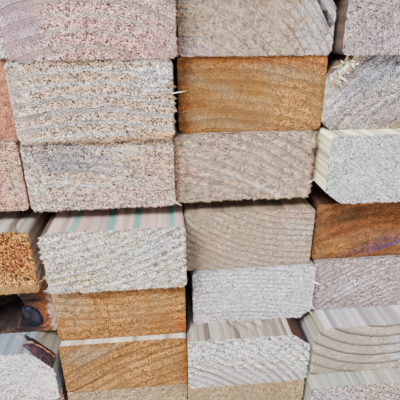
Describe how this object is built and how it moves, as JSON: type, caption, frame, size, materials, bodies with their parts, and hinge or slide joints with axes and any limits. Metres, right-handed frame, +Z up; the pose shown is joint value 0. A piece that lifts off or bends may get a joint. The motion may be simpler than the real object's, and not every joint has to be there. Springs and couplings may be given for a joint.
{
  "type": "bundle of pine studs",
  "caption": "Bundle of weathered planed pine framing studs stacked flat in layers, tied across with thin laths and bound round with crimped steel straps.",
  "frame": {"origin": "centre of the bundle's footprint, on the floor it rests on", "axes": "+Y along the studs, away from the end that the picture shows; +Z up; +X to the right of that end"},
  "size_m": [0.5616, 2.437, 0.3724],
  "materials": {
    "pine_stud": "planed pine, weathered, with saw-cut ends",
    "sawn_lath": "rough-sawn pine strip",
    "strap_steel": "blued and waxed steel strapping",
    "seal_steel": "zinc-plated steel clip"
  },
  "bodies": {
    "root": {"stud_1a": "pine_stud", "stud_1b": "pine_stud", "stud_1c": "pine_stud", "stud_1d": "pine_stud", "stud_1e": "pine_stud", "stud_1f": "pine_stud", "stud_2a": "pine_stud", "stud_2b": "pine_stud", "stud_2c": "pine_stud", "stud_2d": "pine_stud", "stud_2e": "pine_stud", "stud_2f": "pine_stud", "stud_3a": "pine_stud", "stud_3b": "pine_stud", "stud_3c": "pine_stud", "stud_3d": "pine_stud", "stud_3e": "pine_stud", "stud_3f": "pine_stud", "stud_4a": "pine_stud", "stud_4b": "pine_stud", "stud_4c": "pine_stud", "stud_4d": "pine_stud", "stud_4e": "pine_stud", "stud_4f": "pine_stud", "stud_5a": "pine_stud", "stud_5b": "pine_stud", "stud_5c": "pine_stud", "stud_5d": "pine_stud", "stud_5e": "pine_stud", "stud_5f": "pine_stud", "stud_6a": "pine_stud", "stud_6b": "pine_stud", "stud_6c": "pine_stud", "stud_6d": "pine_stud", "stud_6e": "pine_stud", "stud_6f": "pine_stud", "stud_7a": "pine_stud", "stud_7b": "pine_stud", "stud_7c": "pine_stud", "stud_7d": "pine_stud", "stud_7e": "pine_stud", "stud_7f": "pine_stud", "stud_8a": "pine_stud", "stud_8b": "pine_stud", "stud_8c": "pine_stud", "stud_8d": "pine_stud", "stud_8e": "pine_stud", "stud_8f": "pine_stud", "tie_lath_near": "sawn_lath", "strap_near": "strap_steel", "strap_seal_near": "seal_steel", "tie_lath_middle": "sawn_lath", "strap_middle": "strap_steel", "strap_seal_middle": "seal_steel", "tie_lath_far": "sawn_lath", "strap_far": "strap_steel", "strap_seal_far": "seal_steel"}
  },
  "joints": []
}
